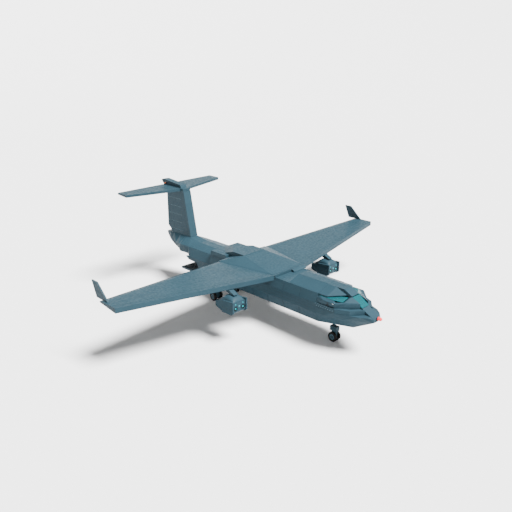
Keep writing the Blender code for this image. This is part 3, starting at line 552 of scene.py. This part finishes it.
def dress_hoods():
    """A rounded hood over each pod, rising from the front plate and falling to the rear, with a white dot of
    painted highlight on top.
    """
    # Columns: share of the pod's length, share of the crown's rise
    rows = ((0.0, 0.10), (0.06, 0.42), (0.14, 0.68), (0.26, 0.90), (0.40, 1.00), (0.55, 0.99), (0.70, 0.80),
            (0.84, 0.45), (0.95, 0.08))
    steps, squareness, sharp_angle = 16, 0.8, 50
    foot, foot_fall = WING_TOP - 0.0378, 0.0060
    highlight_share, pin_radius, highlight_rise = 0.35, 0.0016, 0.0004
    middle = 0.5 * (HOOD_LOW.x + HOOD_HIGH.x)
    half = 0.5 * (HOOD_HIGH.x - HOOD_LOW.x)
    length = HOOD_HIGH.y - HOOD_LOW.y
    crown = HOOD_HIGH.z - (WING_TOP - 0.0380)
    turns = [math.pi * step / steps for step in range(steps + 1)]
    arc = len(turns)
    for side, sign in SIDES:
        points = []
        for share, rise in rows:
            for turn in turns:
                across = math.copysign(abs(math.cos(turn)) ** squareness, math.cos(turn))
                up = abs(math.sin(turn)) ** squareness
                points.append((sign * middle + half * across, HOOD_LOW.y + share * length,
                               foot - foot_fall * share + crown * rise * up))
        faces = [tuple(range(arc)), tuple(range((len(rows) - 1) * arc, len(rows) * arc))]
        for row in range(len(rows) - 1):
            near, far = row * arc, (row + 1) * arc
            faces += [(near + step, near + step + 1, far + step + 1, far + step) for step in range(steps)]
            faces.append((near + steps, near, far, far + steps))
        hood = piece("hood_shell_" + side, [(points, faces)], "blue")
        hood.data.shade_smooth()
        hood.data.set_sharp_from_angle(angle=math.radians(sharp_angle))
        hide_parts("pod_hood_" + side)
    # A white dot on each hood's top is a painted highlight, not a pin
    pins = [disc((sign * middle, HOOD_LOW.y + highlight_share * length, HOOD_HIGH.z - highlight_rise), UP, pin_radius,
                 highlight_rise, 10) for _, sign in SIDES]
    piece("hood_highlights", pins, "highlight_white")


def dress_pods():
    """Intake collars, rings, hubs and blades, small lamps, cheek pins with seams, and exhaust grilles."""
    middle, face = 0.5 * (INTAKE_LOW.x + INTAKE_HIGH.x), INTAKE_LOW.y
    height = 0.5 * (INTAKE_LOW.z + INTAKE_HIGH.z)
    intake_x, hub_radius, blade_reach, blade_width, blade_rise = 0.0140, 0.0024, 0.0044, 0.0008, 0.0006
    # Columns: radius, bore, rise
    collar, inner = (0.0101, 0.0064, 0.0022), (0.0062, 0.0044, 0.0034)
    # Columns: shift across, height above the intakes' middle, radius
    lamps = ((-intake_x, 0.0125, 0.0016), (intake_x, 0.0125, 0.0016), (0.0, 0.0050, 0.0022))
    lamp_y, lamp_rise = POD_LOW.y + 0.0040, 0.0002
    half = 0.5 * (POD_HIGH.x - POD_LOW.x)
    first_pin, pin_drop, pin_radius, pin_bore = POD_LOW.y + 0.012, 0.002, 0.0030, 0.0018
    seam_foot, seam_top = height - 0.012, height + 0.010
    grille_half, grille_foot, grille_step, grille_width, grille_rise = 0.018, 0.0120, 0.0040, 0.0016, 0.0001
    collars, inners, cyans, blades, pins, grilles = [], [], [], [], [], []
    for _, sign in SIDES:
        for shift in (-intake_x, intake_x):
            x = sign * middle + shift
            centre = (x, face, height)
            collars.append(ring(centre, AHEAD, *collar))
            inners.append(ring(centre, AHEAD, *inner))
            cyans.append(disc(centre, AHEAD, hub_radius, hub_radius, 10))
            for step in range(8):
                turn = math.radians(45 * step)
                start, end = [(x + reach * math.cos(turn), face, height + reach * math.sin(turn))
                              for reach in (hub_radius, blade_reach)]
                blades.append(strip(start, end, AHEAD, blade_width, blade_rise))
        for shift, lift, radius in lamps:
            cyans.append(disc((sign * middle + shift, lamp_y, height + lift), AHEAD, radius, lamp_rise, 10))
        for side in (-1.0, 1.0):
            x, out = sign * middle + side * half, (side, 0.0, 0.0)
            for step in range(3):
                y = first_pin + step * 2 * PITCH
                pins.append(ring((x, y, height - pin_drop), out, pin_radius, pin_bore, FLUSH, 14))
                pins.append(strip((x, y + PITCH, seam_foot), (x, y + PITCH, seam_top), out, FINE_SEAM, FLUSH))
        for step in range(4):
            z = POD_LOW.z + grille_foot + step * grille_step
            start, end = [(sign * middle + shift, POD_HIGH.y, z) for shift in (-grille_half, grille_half)]
            grilles.append(strip(start, end, ASTERN, grille_width, grille_rise))
    piece("intake_collars", collars, "blue")
    piece("intake_rings", inners, "black")
    piece("intake_hubs", cyans, "cyan")
    piece("intake_blades", blades, "cyan")
    piece("pod_pins", pins, "seam_and_shade")
    piece("pod_grilles", grilles, "black")


def dress_tail():
    """Brick seams of the fin with rows of painted highlight dots, and the seams of both stabiliser halves."""
    fin_sweep, foot_share, foot_inset, rear_inset = 0.0315, 0.12, 0.016, 0.0025
    edge_gap, glint_inset, glint_drop, glint_radius, glint_rise = 0.004, 0.006, 0.0048, 0.0011, 0.0001
    seams, glint_dots = [], []
    for _, sign in SIDES:
        face, out = sign * FIN_HIGH.x, (sign, 0.0, 0.0)
        z, row = FIN_LOW.z + COURSE, 0
        while z < FIN_HIGH.z - edge_gap:
            share = (z - FIN_LOW.z) / (FIN_HIGH.z - FIN_LOW.z)
            front = FIN_LOW.y + fin_sweep * share + END_GAP
            rear = FIN_HIGH.y - (foot_inset if share < foot_share else rear_inset)
            seams.append(strip((face, front, z), (face, rear, z), out, FINE_SEAM))
            y = rear - (2 + row % 2 * 2) * PITCH
            while y > front + edge_gap:
                seams.append(strip((face, y, z), (face, y, z - COURSE), out, FINE_SEAM))
                y -= 4 * PITCH
            # Every third course a row of light dots: painted highlights where stud edges catch the light
            if row % 3 == 1:
                glint_dots += [disc((face, rear - glint_inset - step * PITCH, z - glint_drop), out,
                              glint_radius, glint_rise, 8) for step in range(10)]
            z += COURSE
            row += 1
    root_depth, tip_depth, stab_sweep, brick = 0.102, 0.052, 0.050, 4 * PITCH
    top = STAB_HIGH.z
    for _, sign in SIDES:
        for share in (0.22, 0.5, 0.78):
            root = (sign * (STAB_LOW.x + END_GAP), STAB_LOW.y + share * root_depth, top)
            tip = (sign * (STAB_HIGH.x - END_GAP), STAB_LOW.y + stab_sweep + share * tip_depth, top)
            seams.append(strip(root, tip, UP, FINE_SEAM))
        for step in range(1, 6):
            x = sign * (STAB_LOW.x + step * brick)
            front = STAB_LOW.y + stab_sweep * step * brick / (STAB_HIGH.x - STAB_LOW.x)
            seams.append(strip((x, front + END_GAP, top), (x, STAB_HIGH.y - END_GAP, top), UP, FINE_SEAM))
    piece("tail_seams", seams, "seam_and_shade")
    piece("fin_glint_dots", glint_dots, "glint")


def dress_gear():
    """Hub rims in a pale painted highlight, axle ends with the hubs' holes, and the tyres' grooves."""
    face_inset = 0.0005
    rim_radius, rim_bore, rim_rise = 0.0078, 0.0062, 0.0003
    axle_radius, axle_rise = 0.0030, 0.0003
    hole_reach, hole_radius, hole_rise, holes = 0.0047, 0.0009, 0.0001, 6
    tread_reach, tread_width, tread_rise, treads = 0.01535, 0.0007, 0.00002, 24
    tread_half = Vector((0.0018, 0.0, 0.0))
    # Columns: body, wheel set's name
    for body, name in (("nose_wheels", "nose"), ("main_wheels_left", "main_left"),
                       ("main_wheels_right", "main_right")):
        rim_glints, axles, grooves = [], [], []
        for label in "ab":
            low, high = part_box(f"{name}_tyre_{label}")
            centre = 0.5 * (low + high)
            for side in (-1.0, 1.0):
                x, out = centre.x + side * (0.5 * (high.x - low.x) - face_inset), (side, 0.0, 0.0)
                rim_glints.append(ring((x, centre.y, centre.z), out, rim_radius, rim_bore, rim_rise))
                axles.append(disc((x, centre.y, centre.z), out, axle_radius, axle_rise, 12))
                for step in range(holes):
                    turn = 2.0 * math.pi * step / holes
                    hole = (x, centre.y + hole_reach * math.cos(turn), centre.z + hole_reach * math.sin(turn))
                    axles.append(disc(hole, out, hole_radius, hole_rise, 8))
            for step in range(treads):
                turn = 2.0 * math.pi * step / treads
                out = Vector((0.0, math.cos(turn), math.sin(turn)))
                at = centre + out * tread_reach
                grooves.append(strip(at - tread_half, at + tread_half, out, tread_width, tread_rise))
        # The rims' pale colour is a painted highlight
        piece(name + "_hub_rim_glints", rim_glints, "glint", body)
        piece(name + "_axle_ends", axles, "grey", body)
        piece(name + "_tread", grooves, "black", body)


make_camera()
make_light()
make_floor()
paint_nodes()
dress_wing()
dress_hump()
dress_hull()
dress_nose()
dress_hoods()
dress_pods()
dress_tail()
dress_gear()
